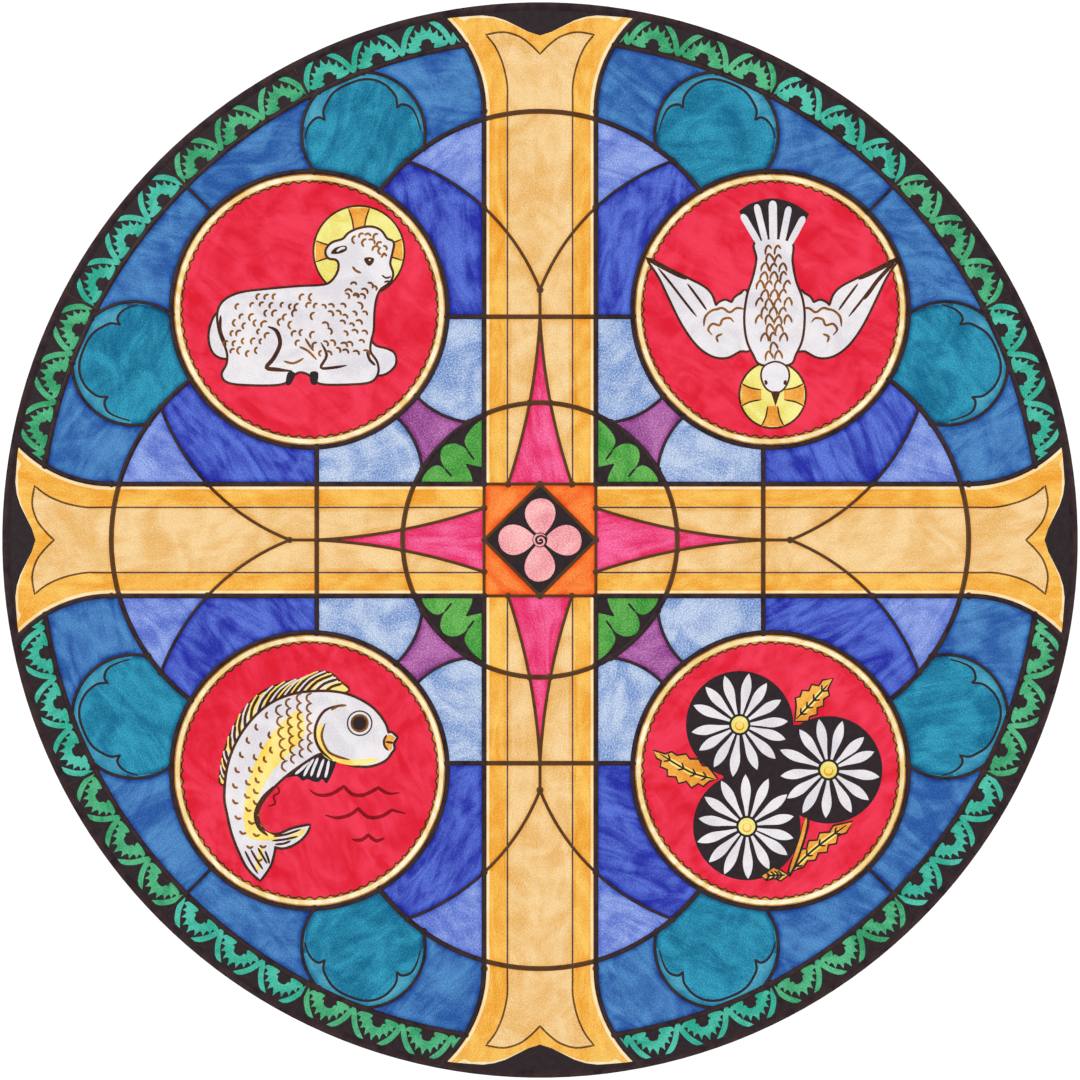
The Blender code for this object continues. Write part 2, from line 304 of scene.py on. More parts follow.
def depth_in(outer, spot):
    """How far a spot of a pane is from the pane's edge."""
    away = []
    for one, other in zip(outer, outer[1:] + outer[:1]):
        way = other - one
        share = min(max(dot(way, spot - one) / abs(way) ** 2, 0.0), 1.0)
        away.append(abs(spot - one - way * share))
    return min(away)


def pane(name, node, looks, edges, painted=(), quarters=0, mirror=False, streak=None):
    """A pane. What is painted on it is given as (look, outline), from the bottom up.

    Two rows of points inside its edge carry the depth that darkens the fringe of the glass beside the cames,
    partly as matting and partly as painted shade.
    """
    edges = placed(edges, quarters, mirror)
    all_edges.append(edges)
    outer = outline(edges, lambda curve: web_half(curve) + GROZING)
    drawn = []
    for look, points in painted:
        if mirror:
            points = [complex(-p.real, p.imag) for p in points]
        points = [1000 * p * (-1j) ** (quarters % 4) for p in points]
        across, up = [p.real for p in points], [p.imag for p in points]
        drawn.insert(0, (min(across), max(across), min(up), max(up), look, points))
    places = [(1000 * p.real, 1000 * p.imag) for p in outer]
    lines = []
    for *_, points in drawn:
        begun, count = len(places), len(points)
        lines += [(begun + i, begun + (i + 1) % count) for i in range(count)]
        places += [(p.real, p.imag) for p in points]
    for one, other in zip(outer, outer[1:] + outer[:1]):
        count = ceil(abs(other - one) / FRINGE_STEP)
        for inset in (FRINGE * 0.4, FRINGE):
            for step in range(count):
                spot = one + (other - one) * complex((step + 0.5) / count, inset / abs(other - one))
                if holds(outer, spot) and depth_in(outer, spot) > 0.9 * inset:
                    places.append((1000 * spot.real, 1000 * spot.imag))
    verts, _, triangles, _, _, owners = delaunay_2d_cdt(places, lines, [list(range(len(outer)))], 1, 1e-4)
    shape = bmesh.new()
    flow = shape.loops.layers.uv.new("flow")
    tips = [shape.verts.new((v.x / 1000 + MIDDLE[0], FRONT_FACE, v.y / 1000 + MIDDLE[1])) for v in verts]
    for triangle, owner in zip(triangles, owners):
        if owner:
            spot = sum((complex(*verts[i]) for i in triangle), 0j) / 3
            look = next((look for left, right, low, high, look, points in drawn
                         if left < spot.real < right and low < spot.imag < high
                         and holds(points, spot)), 0)
            shape.faces.new([tips[i] for i in triangle]).material_index = look
    loose = [v for v in shape.verts if not v.link_faces]
    bmesh.ops.delete(shape, geom=loose, context="VERTS")
    back = bmesh.ops.extrude_face_region(shape, geom=shape.faces[:])["geom"]
    bmesh.ops.translate(shape, verts=[g for g in back if isinstance(g, bmesh.types.BMVert)],
                        vec=(0.0, BACK_FACE - FRONT_FACE, 0.0))
    bmesh.ops.recalc_face_normals(shape, faces=shape.faces[:])
    depth = shape.verts.layers.float.new("depth")
    depths = {}
    for vert in shape.verts:
        spot = complex(vert.co.x - MIDDLE[0], vert.co.z - MIDDLE[1])
        if spot not in depths:
            depths[spot] = min(depth_in(outer, spot) / FRINGE, 1.0)
        vert[depth] = depths[spot]
    turn = rect(1, chance.uniform(0, tau) if streak is None else streak - quarters * pi / 2)
    shift = complex(chance.uniform(0, 9), chance.uniform(0, 9))
    for face in shape.faces:
        for loop in face.loops:
            spot = complex(loop.vert.co.x, loop.vert.co.z) * turn + shift
            loop[flow].uv = spot.real, spot.imag
    mesh = mesh_of(shape, name)
    for look in looks:
        mesh.materials.append(look)
    made = put(name, mesh)
    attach(made, "root")
    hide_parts(node)


def colour(red, green, blue):
    """A colour on the usual scale of 0 to 255, as the linear values that a shader takes."""
    return (*(((part / 255 + 0.055) / 1.055) ** 2.4 for part in (red, green, blue)), 1.0)


def feed(node, inputs):
    """Gives each input of a node its value, or the output that it is joined to."""
    for socket, value in inputs.items():
        if isinstance(value, bpy.types.NodeSocket):
            node.id_data.links.new(value, node.inputs[socket])
        else:
            node.inputs[socket].default_value = value


def add(tree, kind, inputs={}, **settings):
    """The outputs of a new node."""
    made = tree.nodes.new("ShaderNode" + kind)
    for setting, value in settings.items():
        setattr(made, setting, value)
    feed(made, inputs)
    return made.outputs


def noise(tree, place, scale, detail, rough=0.5, bend=0.0):
    return add(tree, "TexNoise", {"Vector": place, "Scale": scale, "Detail": detail,
                                  "Roughness": rough, "Distortion": bend})["Fac"]


def spread(tree, value, start, end, low=0.0, high=1.0, way="LINEAR"):
    """A value from low to high, as another one goes from start to end."""
    return add(tree, "MapRange", {"Value": value, "From Min": start, "From Max": end,
                                  "To Min": low, "To Max": high}, interpolation_type=way)["Result"]


def maths(tree, operation, *values, **settings):
    return add(tree, "Math", dict(enumerate(values)), operation=operation, **settings)["Value"]


def blend(tree, share, first, second, kind="RGBA"):
    return add(tree, "Mix", {"Factor": share, "A": first, "B": second}, data_type=kind)["Result"]


def bump(tree, height, strength, distance):
    return add(tree, "Bump", {"Height": height, "Strength": strength, "Distance": distance})["Normal"]


def glass_group():
    """Hand-made glass: streaks and clouds from light to dark, speckled, and darker beside the cames: partly
    matting, partly painted shade.
    """
    tree = bpy.data.node_groups.new("streaked_glass", "ShaderNodeTree")
    for name, kind in (("Light", "Color"), ("Dark", "Color"), ("Streaks", "Float"), ("Grain", "Float"),
                       ("Fringe", "Float")):
        tree.interface.new_socket(name, in_out="INPUT", socket_type="NodeSocket" + kind)
    for name, kind in (("Colour", "Color"), ("Roughness", "Float"), ("Normal", "Vector")):
        tree.interface.new_socket(name, in_out="OUTPUT", socket_type="NodeSocket" + kind)
    given = tree.nodes.new("NodeGroupInput").outputs
    flow = add(tree, "UVMap", uv_map="flow")["UV"]
    long = add(tree, "Mapping", {"Vector": flow, "Scale": (8.0, 26.0, 1.0)})["Vector"]
    streaks = noise(tree, long, 1.0, 4.0, 0.55, 2.2)
    clouds = noise(tree, flow, 15.0, 5.0, 0.56, 1.3)
    both = blend(tree, given["Streaks"], clouds, streaks, "FLOAT")
    mixed = blend(tree, spread(tree, both, 0.36, 0.64, way="SMOOTHSTEP"), given["Dark"], given["Light"])
    grain = noise(tree, flow, 470.0, 1.5, 0.6)
    speckle = spread(tree, grain, 0.30, 0.70, 0.55, -0.55)
    grained = maths(tree, "MULTIPLY_ADD", speckle, given["Grain"], 1.0)
    # Darker towards the cames: partly matting, partly painted shade.
    depth = add(tree, "Attribute", attribute_name="depth")["Fac"]
    near = maths(tree, "SUBTRACT", 1.0, depth, use_clamp=True)
    power = maths(tree, "MULTIPLY_ADD", maths(tree, "POWER", near, 1.6), given["Fringe"], grained)
    ripples = maths(tree, "MULTIPLY", clouds, 0.0010)
    height = maths(tree, "MULTIPLY_ADD", grain, 0.00010, ripples)
    feed(tree.nodes.new("NodeGroupOutput"), {
        "Colour": add(tree, "Gamma", {"Color": mixed, "Gamma": power})["Color"],
        "Roughness": spread(tree, clouds, 0.0, 1.0, 0.06, 0.26),
        "Normal": bump(tree, height, 0.6, 1.0)})
    return tree


streaked = glass_group()


def started(name):
    """A new material with its node tree and its shader."""
    made = bpy.data.materials.new(name)
    made.use_nodes = True
    return made, made.node_tree, made.node_tree.nodes["Principled BSDF"]


def glass(name, light, dark, streaks=0.5, grain=0.3, fringe=0.6):
    """A see-through glass of two colours that run into each other."""
    made, tree, shader = started(name)
    sheet = add(tree, "Group", {"Light": colour(*light), "Dark": colour(*dark), "Streaks": streaks,
                                "Grain": grain, "Fringe": fringe}, node_tree=streaked)
    feed(shader, {"Base Color": sheet["Colour"], "Roughness": sheet["Roughness"], "Normal": sheet["Normal"],
                  "Metallic": 0.0, "IOR": 1.5, "Transmission Weight": 1.0})
    return made


def black_paint():
    """Vitreous paint fired on the glass: opaque, a little uneven, with pinholes and brush marks."""
    made, tree, shader = started("black_paint")
    wash = noise(tree, add(tree, "UVMap", uv_map="flow")["UV"], 130.0, 5.0, 0.7)
    shades = colour(44, 28, 36), colour(64, 44, 48)
    feed(shader, {"Base Color": blend(tree, spread(tree, wash, 0.42, 0.72), *shades),
                  "Roughness": spread(tree, wash, 0.0, 1.0, 0.35, 0.75),
                  "Normal": bump(tree, wash, 0.4, 0.0004)})
    return made


def smooth(points, closed=True, steps=4):
    """A flowing line through points. It has a corner where two points are the same."""
    count, made = len(points), []
    for i in range(count if closed else count - 1):
        a, b, c, d = (points[j % count] if closed else points[min(max(j, 0), count - 1)]
                      for j in range(i - 1, i + 3))
        for step in range(steps if b != c else 0):
            s = step / steps
            bend = (2 * a - 5 * b + 4 * c - d) * s ** 2 + (3 * b - a - 3 * c + d) * s ** 3
            made.append(b + ((c - a) * s + bend) / 2)
    return made + ([] if closed else points[-1:])


def at(middle, *numbers):
    """Places around a middle, given in millimetres: across, up, across, up and so on."""
    return [middle + complex(*pair) / 1000 for pair in zip(numbers[::2], numbers[1::2])]


def stroke(points, width, tip=0.3, steps=4):
    """The outline of a brush stroke along points, thinner at its tips."""
    points = smooth(points, False, steps)
    left, right = [], []
    for i, p in enumerate(points):
        way = points[min(i + 1, len(points) - 1)] - points[max(i - 1, 0)]
        share = i / (len(points) - 1)
        half = width / 2 * min(1.0, tip + 4 * share, tip + 4 * (1 - share))
        left.append(p + 1j * way / abs(way) * half)
        right.append(p - 1j * way / abs(way) * half)
    return left + right[::-1]


def grown(points, width):
    """A closed outline moved outward by a width, or inward where the width is below zero."""
    area = sum((one.conjugate() * other).imag for one, other in zip(points, points[1:] + points[:1]))
    side = -1j if area > 0 else 1j
    made = []
    for i, p in enumerate(points):
        way = points[(i + 1) % len(points)] - points[i - 1]
        made.append(p + side * way / abs(way) * width)
    return made


def disc(middle, radius, count=48):
    return [middle + rect(radius, n * tau / count) for n in range(count)]


black = black_paint()

# Middle of the cross: one square pane set on its point with a flower of four pink petals left
# clear in black paint, and four orange panes that fill the corners around it.

petal = glass("diamond_glass", (252, 188, 186), (236, 146, 156), 0.3, 0.9, 0.0)
orange = glass("orange_glass", (252, 146, 64), (242, 106, 38), 0.3, 0.45)
sides = [within(diamond_side._replace(normal=diamond_side.normal * 1j ** n)) for n in range(4)]
flower = []
for n in range(4):
    one = at(0j, 1, 6, 12, 15, 20, 29, 21, 43, 14, 54, 2, 58, -12, 54, -20, 43, -20, 30, -12, 16)
    flower.append((1, [p * 1j ** n for p in smooth(one)]))
flower.append((0, disc(0j, 0.0105, 24)))
swirl = at(0j, 8, 5, 2, 8, -6, 6, -8, -1, -4, -7, 3, -7, 6, -2, 3, 3, -2, 2, -2, -2, 2, -2)
flower.append((1, stroke(swirl, 0.0026)))
pane("middle_diamond", "star_and_middle", [black, petal], sides, flower)
for quarters, quarter in enumerate(QUARTERS):
    pane("middle_corner_" + quarter, "star_and_middle", [orange],
         [within(Line(1 + 0j, ARM, NARROW)), within(middle_side), beyond(diamond_side)], quarters=quarters)

# Star: four points of streaky magenta glass, each in two panes, cut where the ring crosses it.
# The outer pane runs out to the line of the square, between two narrow cames.

magenta = glass("magenta_glass", (246, 100, 154), (228, 44, 104), 0.6, 0.55, 0.4)
for quarters, arm in enumerate(ARMS):
    pane(f"star_{arm}_inner", "star_and_middle", [magenta],
         [beyond(middle_side), beyond(star_side), within(ring), beyond(mirrored(star_side))],
         quarters=quarters, streak=pi / 2)
    pane(f"star_{arm}_outer", "star_and_middle", [magenta],
         [beyond(ring), beyond(star_side), beyond(mirrored(star_side))], quarters=quarters, streak=pi / 2)

# Arms of the cross: cream antique glass, with a band of orange silver stain along both edges
# and a thin painted line inside it. Beside the star each half has two panes, then a wedge
# below the crossed arcs. A three-sided pane and the flared end span the arm. On the end the
# band turns along two shoulders to a notch, and the glass outside them is painted black.

cream = glass("cream_glass", (246, 210, 152), (234, 182, 106), 0.3, 0.6, 0.4)
stain = glass("orange_stain", (250, 198, 96), (238, 162, 48), 0.5, 0.5, 0.4)
# A painted highlight: pale glass under the stain and the line, which shows as a thin strip beside the cames
# and beside the painted line.
highlight_strip = glass("painted_highlight_glass", (254, 236, 196), (250, 212, 148), 0.5, 0.4, 0.2)
contour = glass("brown_line", (120, 78, 34), (84, 52, 24), 0.3, 0.5, 0.0)
bands = []
for side in (1, -1):
    for look, near, far in ((2, 44.4, 78), (1, 47.6, 70.5), (3, 44.4, 46.8)):
        band = at(0j, near, 70, far, 70, far, 620, near, 620)
        bands.append((look, [complex(side * p.real, p.imag) for p in band]))


def both(points):
    """A line down the right half of an arm, continued up its left half."""
    return points + [complex(-p.real, p.imag) for p in points[::-1] if p.real > 1e-6]


notch = both(at(0j, 0, 760, 120, 760, 120, 729, 96, 731, 80, 732, 64, 730, 48, 725, 30, 716, 16, 709, 0, 704))
end_stain = both(at(0j, 0, 704, 14, 708, 30, 715, 48, 723, 66, 728, 96, 728, 106, 724)
                 + [flare.centre + rect(flare.radius + 0.0080, radians(n)) for n in range(128, 184, 4)]
                 + at(0j, 70.5, 560))
cup = both(smooth(at(0j, 0, 678, 13, 691, 29, 702.5, 51, 708.5, 75.5, 705, 75.5, 705, 63, 689, 54, 670,
    48.5, 651, 45.5, 632, 45.5, 610, 45.5, 560), False))
# The pale look under the stain shows as a painted highlight beside the cames of the flared end.
end_paint = [(2, both(at(0j, 0, 760, 200, 760, 200, 560))), (1, end_stain), (3, grown(cup, 0.0013)),
             (0, grown(cup, -0.0013)), (4, notch)]
looks = [cream, stain, highlight_strip, contour, black]
for quarters, arm in enumerate(ARMS):
    node = "cross_arm_" + arm
    for mirror, side in enumerate(SIDES[quarters]):
        for part, edges in (
                ("inner", [beyond(middle_side), within(arm_side), within(ring), within(star_side)]),
                ("outer", [beyond(ring), within(arm_side), within(square_side), within(star_side)]),
                ("wedge", [beyond(square_side), within(arm_side), within(arc), beyond(arm_middle)])):
            pane(f"arm_{arm}_{side}_{part}", node, looks, edges, bands,
                 quarters, mirror, pi / 2)
    pane(f"arm_{arm}_middle", node, looks,
         [beyond(arc), within(arm_side), within(lobe), within(mirrored(arm_side)), beyond(mirrored(arc))],
         bands, quarters, False, pi / 2)
    pane(f"arm_{arm}_end", node, looks,
         [beyond(lobe), within(arm_side), beyond(flare), within(rim), beyond(mirrored(flare)),
          within(mirrored(arm_side))], end_paint, quarters, False, pi / 2)

# Leaf panes in the corners of the cross: bright green glass painted black around two lobed
# leaves. One leaf hangs on each arm.

leaf_green = glass("leaf_green_glass", (104, 178, 84), (62, 148, 56), 0.3, 0.6, 0.3)
leaves = [
    (1, smooth(at(0j, 68, 172, 79.5, 168.5, 89, 162, 97, 154, 103.5, 144, 105, 136, 101, 127, 96.3, 118,
                  96.3, 118, 100.5, 123, 106, 129, 116, 134, 126, 134, 134.5, 130, 138.6, 122, 138, 111,
                  133, 101, 127.4, 94, 127.4, 94, 134, 100, 142, 104, 150, 102, 158, 95, 164, 85, 166, 68,
                  166, 68, 94, 68, 94, 68, 94.5, 84, 98, 95, 103.5, 106, 94, 104.6, 80, 102, 68, 103))),
    (0, stroke(at(0j, 92, 112, 97, 119, 101, 124), 0.0030)),
    (0, stroke(at(0j, 123, 88, 128, 94, 133, 100), 0.0030))]
for quarters, quarter in enumerate(QUARTERS):
    if quarters:  # the leaf hangs on the other arm in every next quarter
        leaves = [(look, [complex(p.imag, p.real) for p in points]) for look, points in leaves]
    pane("leaf_" + quarter, "leaf_pane_" + quarter, [black, leaf_green],
         [beyond(swapped(arm_side)), within(ring), beyond(arm_side)], leaves, quarters)

# Hollow-sided panes of purple glass, which reach from the ring to the medallions.

purple = glass("purple_glass", (184, 110, 174), (146, 72, 142), 0.3, 0.7, 0.5)
for quarters, quarter in enumerate(QUARTERS):
    pane("hollow_" + quarter, "hollow_pane_" + quarter, [purple],
         [beyond(ring), beyond(swapped(hollow_side)), beyond(medallion), beyond(hollow_side)],
         quarters=quarters)

# Medallions: round panes of brushed red. Each has a pale gold band around it, edged inside
# with a dark scalloped line, and a figure in white with brown trace lines.

figure_looks = [glass(*stained, 0.0) for stained in (
    ("red_glass", (242, 56, 84), (222, 20, 46), 0.35, 0.16),
    ("gold_stain", (255, 248, 220), (240, 208, 128), 0.7, 0.3),
    # Darker gold for both edges of the band: painted shade.
    ("shaded_gold_stain", (226, 168, 70), (150, 84, 26), 0.4, 0.3),
    ("dark_trace", (84, 46, 28), (58, 28, 20), 0.3, 0.4),
    ("brown_trace", (160, 100, 38), (104, 58, 22), 0.3, 0.5),
    ("white_glass", (240, 236, 238), (222, 218, 224), 0.2, 0.5),
    ("yellow_stain", (248, 240, 150), (232, 216, 96), 0.2, 0.6),
    ("ray_stain", (246, 180, 76), (226, 140, 44), 0.3, 0.5),
    ("flank_stain", (254, 238, 150), (250, 212, 84), 0.3, 0.3),
    ("red_trace", (150, 8, 24), (116, 0, 12), 0.3, 0.3))]
figure_looks.insert(3, black)
RED, GOLD, SHADED_GOLD, BLACK, LINE, TRACE, WHITE, HALO, RAY, YELLOW, DARK_RED = range(len(figure_looks))


def band_around(middle, scallops):
    """The gold band of a medallion and its scalloped inner edge. The band is darker at both edges: painted
    shade, deepest beside the came.
    """
    drawn = [(look, disc(middle, radius, 96))
             for look, radius in ((SHADED_GOLD, medallion.radius), (GOLD, 0.1872), (SHADED_GOLD, 0.1812))]
    for look, radius in ((LINE, 0.1774), (RED, 0.1752)):
        edge = []
        for n in range(scallops * 4):
            rise = (0.0, 0.7, 1.0, 0.7)[n % 4] * (0.6 + 0.6 * sin(n * 1.7) ** 2)
            edge.append(middle + rect(radius + 0.0032 * rise, n * tau / (scallops * 4)))
        drawn.append((look, edge))
    return drawn


def figure(look, points, width=0.0034):
    """A painted shape with a dark outline around it."""
    shape = smooth(points)
    return [(LINE, grown(shape, width)), (look, shape)]


def lines(look, width, *paths):
    """Brush strokes through places given in millimetres from mid, the middle of the figure."""
    return [(look, stroke(at(mid, *path), width)) for path in paths]


def filled(look, *numbers):
    return [(look, smooth(at(mid, *numbers)))]


def tick(spot, turn, width, *pairs):
    """A short curl of trace, turned and sized around a spot, all in millimetres from mid."""
    return [(TRACE, stroke([mid + (spot + turn * complex(*pair)) / 1000 for pair in pairs], width))]


def halo(middle, radius, line, headings, width):
    """A round halo in a dark line, with flared rays that each lie between two dark lines."""
    drawn = [(LINE, disc(middle, radius + line)), (HALO, disc(middle, radius))]
    for way in headings:
        spoke = rect(radius, radians(way))
        side = [middle + spoke * complex(*pair)
                for pair in ((0.35, width * 0.7), (0.7, width), (0.97, width * 1.6))]
        other = [middle + spoke * ((p - middle) / spoke).conjugate() for p in side]
        drawn += [(RAY, side + other[::-1]), (LINE, stroke(side, 0.0022)), (LINE, stroke(other, 0.0022))]
    return drawn


def medallion_pane(name, quarters, streak):
    """The pane with what is drawn for its own quarter, turned back to the base quarter."""
    painted = [(look, [p * 1j ** quarters for p in points]) for look, points in drawn]
    pane(name + "_pane", name + "_medallion", figure_looks, [within(medallion)],
         painted, quarters, False, streak)


# Dove medallion, upper right: a white dove flies straight down, its head over a halo with
# three rays. Black is painted between the feathers of its spread tail.

mid = medallion.centre + 0.003
drawn = band_around(medallion.centre, 78)
drawn += filled(BLACK, -47, 137, -47, 137, -30, 148, 0, 155, 29, 148, 51, 133, 51, 133,
    36, 108, 26, 92, -22, 92, -31, 111)
drawn += halo(at(mid, 0, -119)[0], 0.0450, 0.0030, (0, 180, 270), 0.22)


def on_side(numbers, side):
    """Places on the dove's one side or its other."""
    return [mid + complex(side * p.real, p.imag) for p in at(0j, *numbers)]


wing = (-36, 21, -44, 21, -52, 16, -57, 9, -66, 12, -74, 9, -80, 5, -86, 20, -97, 31, -120, 43, -148, 57,
    -175, 71, -175, 71, -158, 46, -143, 15, -125, -21, -105, -49, -84, -64, -64, -66, -46, -57, -30, -50)
plumes = ((-160, 58, -142, 36, -122, 10, -106, -10), (-119, 36, -104, 16, -92, -1))
scallops = ((-96, -24, -94, -10, -84, -1, -74, 0), (-82, 0, -70, 2, -60, -4, -50, 2, -38, 0),
    (-84, -36, -90, -28, -84, -20, -74, -22, -70, -14, -60, -12, -54, -18), (-76, -46, -78, -38, -70, -34))
for side in (1, -1):
    drawn += figure(WHITE, on_side(wing, side))
    for look, paths in ((LINE, plumes), (TRACE, scallops)):
        drawn += [(look, stroke(on_side(path, side), 0.0034)) for path in paths]
drawn += lines(LINE, 0.0056, (176, 71, 150, 57, 120, 42), (170, 66, 146, 40, 128, 14),
    (-176, 71, -150, 57, -120, 42))
drawn += figure(WHITE, at(mid, -24, 92, -21, 71, -26, 45, -34, 20, -38, -11, -35, -41, -26, -62, -15, -76,
    22, -76, 31, -62, 40, -41, 43, -11, 40, 15, 31, 40, 26, 68, 26, 92, 2, 98))
for tip, root, half in ((-43 + 133j, -19 + 92j, 5.2), (-23 + 147j, -10 + 94j, 5.2), (152j, 1 + 94j, 6.4),
                        (23 + 144j, 13 + 94j, 5.2), (44 + 130j, 24 + 92j, 5.2)):
    way = (tip - root) / abs(tip - root)
    side = [root + 0.7j * half * way, (root + 2 * tip) / 3 + 0.9j * half * way,
            tip - 4 * way + 0.8j * half * way]
    other = [root + way * ((p - root) / way).conjugate() for p in side]
    drawn.append((WHITE, smooth([mid + p / 1000 for p in side + [tip] + other[::-1]])))
for row in range(13):
    up = 82 - 12.2 * row
    reach = 12 + 18 * sin(pi * min(1.0, row / 11))
    count = max(1, round(2 * reach / 13.5) - row % 2)
    for n in range(count):
        spot = complex(2 + (n - (count - 1) / 2) * 13.2, up)
        spot += complex(chance.uniform(-1, 1), chance.uniform(-1, 1))
        tilt = rect(1, chance.uniform(-0.2, 0.2))
        feather = ((-5.4, -6), (-4.4, 1.5), (0, 6.8), (4.2, 1.5), (5.2, -4.5))
        drawn += tick(spot, tilt, 0.0032, *feather[:chance.choice((4, 5, 5))])
drawn += figure(WHITE, at(mid, 4, -74, 18, -80, 22, -93, 17, -107, 9, -114, -1, -114, -10, -107, -15, -93,
    -11, -80), 0.0026)
drawn.append((LINE, at(mid, -3, -114, 11, -114, 4, -135)))
drawn += lines(LINE, 0.0040, (-11, -99, -9, -102, -10, -105), (19, -99, 17, -102, 18, -105))
medallion_pane("dove", 0, 0.6)

# Daisy medallion, lower right: three white daisies on round black grounds, with toothed
# golden leaves, a stem and a bud between them.

mid = complex(medallion.centre.real, -medallion.centre.imag)
drawn = band_around(mid, 78)
flowers = ((-43, 64, 75, 14, 0.10), (81, 1, 75, 13, 0.32), (-33, -78, 75, 14, 0.25))
for across, up, radius, _, _ in flowers:
    drawn.append((BLACK, disc(mid + complex(across, up) / 1000, radius / 1000)))
drawn.append((BLACK, at(mid, -66, 10, -20, 60, 40, 64, 90, 30, 60, -50, 0, -90, -66, -50)))
leaf_shapes = ((35, 69, 52, 70, 54, 76, 64, 79, 64, 88, 73, 91, 73, 100, 81, 105, 79, 114, 86, 128,
    73, 125, 68, 117, 58, 119, 54, 110, 45, 111, 42, 102, 36, 101, 37, 90),
    (-75, -12, -88, 5, -96, 6, -101, 15, -113, 15, -118, 22, -131, 20, -138, 25, -147, 22, -163, 27,
    -158, 18, -151, 14, -153, 6, -143, 2, -143, -7, -131, -8, -128, -17, -117, -14, -110, -23, -101, -17,
    -94, -21, -86, -14), (24, -146, 31, -124, 39, -121, 41, -111, 51, -110, 54, -99, 66, -98, 69, -88,
    83, -87, 88, -78, 114, -72, 105, -86, 93, -90, 91, -101, 80, -103, 78, -113, 66, -114, 62, -124,
    51, -125, 45, -134, 34, -137), (24, -146, 14, -140, 4, -136, -4, -142, -12, -147, -6, -152, 6, -149,
    14, -153))
leaf_spines = ((36, 72, 55, 92, 80, 120), (-78, -12, -112, -2, -154, 23), (26, -144, 58, -112, 106, -76),
    (20, -146, 10, -146, -6, -147))
for shape, spine in zip(leaf_shapes, leaf_spines):
    leaf = at(mid, *shape)
    drawn += [(BLACK, grown(leaf, 0.0026)), (RAY, leaf)]
    spine = smooth(at(mid, *spine), False, 5)
    drawn += [(YELLOW, stroke(spine[1:-1], 0.0075)), (BLACK, stroke(spine, 0.0026))]
    for n in range(2, len(spine) - 2, 2):
        for turn in (1j, -1j):
            rib = spine[n + 1] - spine[n - 1]
            rib = rib / abs(rib) * (turn + 1.2) * 0.0060
            drawn.append((BLACK, stroke([spine[n], spine[n] + rib], 0.0024)))
drawn += lines(BLACK, 0.0095, (52, -64, 44, -96, 26, -148))
drawn += lines(RAY, 0.0052, (50, -66, 43, -96, 27, -142))
for across, up, radius, count, start in flowers:
    heart = mid + complex(across, up) / 1000
    for n in range(count):
        way = rect(1, start + n * tau / count + chance.uniform(-0.06, 0.06))
        long = (radius - chance.uniform(1, 8)) / 1000
        side = [complex(share * long, half)
                for share, half in ((0.16, -0.0010), (0.40, -0.0036), (0.68, -0.0070), (0.88, -0.0046))]
        petal_edge = side + [long, long] + [p.conjugate() for p in side[::-1]]
        drawn.append((WHITE, [heart + way * p for p in smooth(petal_edge, True, 3)]))
    drawn += [(BLACK, disc(heart, 0.0150, 24)), (HALO, disc(heart, 0.0118, 24)),
              (RAY, disc(heart - 0.002j, 0.0065, 16)), (YELLOW, disc(heart - 0.001j, 0.0050, 16))]
medallion_pane("daisy", 1, 0.9)

# Fish medallion, lower left: a leaping fish, white with a yellow flank, a striped back fin and
# scales in brown trace. Three waves are traced in dark red under its head.

mid = -medallion.centre
drawn = band_around(mid, 76)
drawn += lines(DARK_RED, 0.0050, (0, -27, 12, -34, 30, -33, 48, -22, 48, -22, 60, -33, 76, -34,
    96, -24, 96, -24, 110, -32, 126, -31), (22, -62, 38, -66, 56, -62, 68, -53, 68, -53, 82, -65, 100, -64,
    115, -55, 115, -55, 134, -60), (59, -96, 72, -97, 82, -90, 82, -90, 93, -98, 105, -94))
fin_out = (-124, -16, -121, 8, -117, 28, -107, 55, -89, 86, -64, 109, -33, 122, -3, 128, 10, 136, 10, 136,
    28, 135, 41, 124, 54, 112)
fin_in = (30, 108, -2, 108, -28, 103, -54, 91, -79, 68, -97, 40, -108, 8, -114, -16)
fin = smooth(at(mid, *fin_out, *fin_in))
drawn += [(LINE, grown(fin, 0.0030)), (YELLOW, fin)]
comb = smooth(at(mid, *fin_out), False, 4)
root = smooth(at(mid, *fin_in), False, 8)[::-1]
for n in range(19):
    foot = root[n * (len(root) - 1) // 19]
    top = comb[(n + 1) * (len(comb) - 1) // 20]
    middle = (foot + top) / 2 + (top - foot) * 0.10j
    drawn += [(WHITE if n % 2 else YELLOW, stroke([foot, middle, top], 0.0085, 0.8, 3)),
              (LINE, stroke([foot, middle, top], 0.0040, 0.8, 3))]
drawn += lines(LINE, 0.0050, (-112, -10, -104, 24, -88, 58, -66, 84, -38, 101, -6, 109, 30, 110,
    62, 102))
pelvic = (32, 18, 37, 10, 25, -17, 18, -12, 12, -16, 5, -15, -3, -12, -10, -14, -17, -8, -32, -10,
    -32, -10, -12, 6, 12, 24)
drawn += filled(BLACK, *pelvic)
drawn += lines(WHITE, 0.0040, (27, 14, 25, 2, 22, -10), (20, 16, 15, 2, 11, -10),
    (12, 18, 6, 4, 2, -8), (6, 17, -2, 4, -8, -8), (0, 14, -10, 3, -20, -5))
body = (109, 52, 114, 52, 121, 46, 121, 46, 116, 38, 117, 31, 113, 25, 106, 16, 94, 10, 79, 7, 58, 9,
    38, 17, 24, 24, 12, 24, -8, 12, -33, -6, -54, -26, -69, -46, -74, -62, -69, -79, -58, -89, -43, -90,
    -23, -82, 0, -77, 0, -77, -8, -91, -22, -102, -37, -107, -49, -105, -49, -105, -51, -116, -56, -133,
    -69, -152, -69, -152, -85, -136, -97, -113, -107, -87, -113, -61, -117, -36, -113, 4, -101, 38,
    -80, 69, -54, 92, -23, 105, 8, 109, 38, 108, 63, 101, 88, 86, 104, 66)
